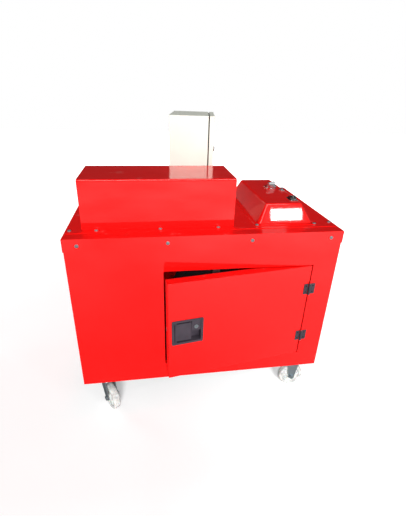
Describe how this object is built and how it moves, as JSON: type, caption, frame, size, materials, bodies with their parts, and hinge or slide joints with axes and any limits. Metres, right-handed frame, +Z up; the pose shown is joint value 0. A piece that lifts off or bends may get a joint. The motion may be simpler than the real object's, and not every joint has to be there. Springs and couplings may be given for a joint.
{
  "type": "semi automatic strapping machine",
  "caption": "Sheet-steel strapping machine on casters, with a hood, a control box, an upright electrical enclosure and a hinged front door over its strap reel.",
  "frame": {"origin": "on the floor, in the middle of the whole machine", "axes": "+X to the right seen from the front, +Y to the back, +Z up"},
  "size_m": [0.907, 0.6664, 1.0355],
  "materials": {
    "red_paint": "glossy red powder coat",
    "frame_paint": "satin black paint",
    "cream_paint": "semi-gloss pebble-cream powder coat",
    "motor_paint": "blue-grey machine enamel",
    "zinc": "bright zinc plate",
    "machined_steel": "machined steel",
    "stainless": "brushed stainless",
    "chrome": "polished chrome",
    "black_plastic": "fine-textured black nylon",
    "gloss_black": "gloss black",
    "wheel_nylon": "light grey nylon",
    "gasket_rubber": "foamed black rubber",
    "belt_rubber": "black rubber belt",
    "brass": "bare brass",
    "strap": "black polypropylene strap"
  },
  "bodies": {
    "cabinet": {"base_frame": "frame_paint", "corner_posts": "frame_paint", "top_frame": "frame_paint", "floor_plate": "frame_paint", "front_panel": "red_paint", "left_panel": "red_paint", "right_panel": "red_paint", "rear_panel": "red_paint", "lid": "red_paint", "skirt_screws": "zinc", "table_sheet": "red_paint", "work_plate": "stainless", "hood": "red_paint", "top_screws": "zinc", "head_frame": "machined_steel", "anvil": "machined_steel", "gear_motor": "motor_paint", "control_box": "red_paint", "control_bezels": "chrome", "enclosure_stand": "cream_paint", "enclosure_body": "cream_paint", "enclosure_gasket": "gasket_rubber", "enclosure_electrics": "black_plastic", "cable_gland": "black_plastic", "fixed_hinge_leaves": "black_plastic", "hinge_pins": "machined_steel", "latch_keeper": "zinc", "caster_plates": "zinc", "rigid_forks": "zinc", "reel_stand": "machined_steel", "feed_plate": "machined_steel", "feed_motor": "motor_paint", "drive_belt": "belt_rubber"},
    "front_door": {"door_panel": "red_paint", "door_hinge_leaves": "black_plastic", "latch_frame": "black_plastic"},
    "paddle": {"latch_paddle": "black_plastic"},
    "key_barrel": {"latch_key": "zinc"},
    "dead_bolt": {"latch_bolt": "zinc"},
    "cabinet_door": {"enclosure_door": "cream_paint"},
    "door_lock": {"enclosure_lock": "black_plastic"},
    "knob": {"selector_knob": "chrome"},
    "button": {"push_button": "zinc"},
    "rocker": {"rocker_switch": "gloss_black"},
    "fork_front": {"swivel_fork_front": "zinc"},
    "fork_rear": {"swivel_fork_rear": "zinc"},
    "left_front_wheel": {"wheel_left_front": "wheel_nylon"},
    "left_rear_wheel": {"wheel_left_rear": "wheel_nylon"},
    "right_front_wheel": {"wheel_right_front": "wheel_nylon"},
    "right_rear_wheel": {"wheel_right_rear": "wheel_nylon"},
    "reel": {"strap_reel": "zinc", "strap_coil": "strap"},
    "brake_lever": {"reel_brake": "machined_steel"},
    "motor_shaft": {"motor_pulley": "machined_steel"},
    "drive_roller": {"feed_roller_drive": "machined_steel"},
    "press_roller": {"feed_roller_press": "machined_steel"},
    "camshaft": {"cam_shaft": "machined_steel"},
    "gripper": {"gripper_ram": "machined_steel"},
    "press": {"press_ram": "machined_steel"},
    "heater": {"heater_blade": "brass"}
  },
  "joints": [
    {"name": "front_door_hinge", "type": "hinge", "parent": "cabinet", "child": "front_door", "pos_m": [0.3625, -0.25456, 0.391], "axis": [0, 0, 1], "range_deg": [-8.8, 100]},
    {"name": "latch_paddle_hinge", "type": "hinge", "parent": "front_door", "child": "paddle", "pos_m": [-0.11999, -0.32116, 0.396], "axis": [0, 0, -1], "range_deg": [0, 35], "stiffness_Nm_per_rad": 0.4},
    {"name": "latch_key_turn", "type": "hinge", "parent": "front_door", "child": "key_barrel", "pos_m": [-0.04887, -0.31319, 0.41], "axis": [0.153, -0.9882, 0], "range_deg": [0, 90]},
    {"name": "latch_bolt_slide", "type": "slide", "parent": "front_door", "child": "dead_bolt", "axis": [-0.9882, -0.153, 0], "range_m": [0, 0.009]},
    {"name": "enclosure_door_hinge", "type": "hinge", "parent": "cabinet", "child": "cabinet_door", "pos_m": [0.07356, 0.29098, 0.9235], "axis": [0, 0, 1], "range_deg": [0, 110]},
    {"name": "enclosure_lock_turn", "type": "hinge", "parent": "cabinet_door", "child": "door_lock", "pos_m": [0.03742, 0.06282, 0.9235], "axis": [0.9877, -0.1564, 0], "range_deg": [0, 90]},
    {"name": "selector_turn", "type": "hinge", "parent": "cabinet", "child": "knob", "pos_m": [0.29466, 0.06499, 0.7755], "axis": [0, 0, 1], "range_deg": [-60, 60]},
    {"name": "button_press", "type": "slide", "parent": "cabinet", "child": "button", "axis": [0, 0, -1], "range_m": [0, 0.004], "stiffness_N_per_m": 300},
    {"name": "rocker_tilt", "type": "hinge", "parent": "cabinet", "child": "rocker", "pos_m": [0.31782, -0.09736, 0.7715], "axis": [1, 0, 0], "range_deg": [-12, 12]},
    {"name": "front_caster_swivel", "type": "hinge", "parent": "cabinet", "child": "fork_front", "pos_m": [-0.373, -0.20456, 0.1317], "axis": [0, 0, 1], "continuous": true},
    {"name": "rear_caster_swivel", "type": "hinge", "parent": "cabinet", "child": "fork_rear", "pos_m": [-0.373, 0.26643, 0.1317], "axis": [0, 0, 1], "continuous": true},
    {"name": "left_front_wheel_spin", "type": "hinge", "parent": "fork_front", "child": "left_front_wheel", "pos_m": [-0.357, -0.23228, 0.05], "axis": [0.866, 0.5, 0], "continuous": true},
    {"name": "left_rear_wheel_spin", "type": "hinge", "parent": "fork_rear", "child": "left_rear_wheel", "pos_m": [-0.34293, 0.27738, 0.05], "axis": [-0.342, 0.9397, 0], "continuous": true},
    {"name": "right_front_wheel_spin", "type": "hinge", "parent": "cabinet", "child": "right_front_wheel", "pos_m": [0.373, -0.20456, 0.05], "axis": [0, 1, 0], "continuous": true},
    {"name": "right_rear_wheel_spin", "type": "hinge", "parent": "cabinet", "child": "right_rear_wheel", "pos_m": [0.373, 0.26643, 0.05], "axis": [0, 1, 0], "continuous": true},
    {"name": "reel_spin", "type": "hinge", "parent": "cabinet", "child": "reel", "pos_m": [0.035, -0.11256, 0.389], "axis": [0, 1, 0], "continuous": true},
    {"name": "reel_brake_release", "type": "hinge", "parent": "cabinet", "child": "brake_lever", "pos_m": [0.105, -0.02857, 0.327], "axis": [0, -1, 0], "range_deg": [0, 10], "stiffness_Nm_per_rad": 2, "springref_deg": -22.92},
    {"name": "feed_motor_spin", "type": "hinge", "parent": "cabinet", "child": "motor_shaft", "pos_m": [-0.261, 0.06444, 0.26], "axis": [0, 1, 0], "continuous": true},
    {"name": "drive_roller_spin", "type": "hinge", "parent": "cabinet", "child": "drive_roller", "pos_m": [-0.2635, 0.04843, 0.614], "axis": [0, 1, 0], "continuous": true},
    {"name": "press_roller_spin", "type": "hinge", "parent": "cabinet", "child": "press_roller", "pos_m": [-0.2185, 0.04843, 0.614], "axis": [0, 1, 0], "continuous": true},
    {"name": "cam_shaft_spin", "type": "hinge", "parent": "cabinet", "child": "camshaft", "pos_m": [-0.241, -0.02857, 0.7679], "axis": [1, 0, 0], "continuous": true},
    {"name": "gripper_ram_lift", "type": "slide", "parent": "cabinet", "child": "gripper", "axis": [0, 0, 1], "range_m": [0, 0.005]},
    {"name": "press_ram_lift", "type": "slide", "parent": "cabinet", "child": "press", "axis": [0, 0, 1], "range_m": [0, 0.005]},
    {"name": "heater_slide", "type": "slide", "parent": "cabinet", "child": "heater", "axis": [0, 1, 0], "range_m": [0, 0.03], "stiffness_N_per_m": 60}
  ],
  "couplings": [
    {"joint": "latch_key_turn", "follows": "latch_bolt_slide", "rad_per_m": 174.5},
    {"joint": "drive_roller_spin", "follows": "feed_motor_spin", "ratio": 0.625},
    {"joint": "press_roller_spin", "follows": "feed_motor_spin", "ratio": -0.625}
  ]
}
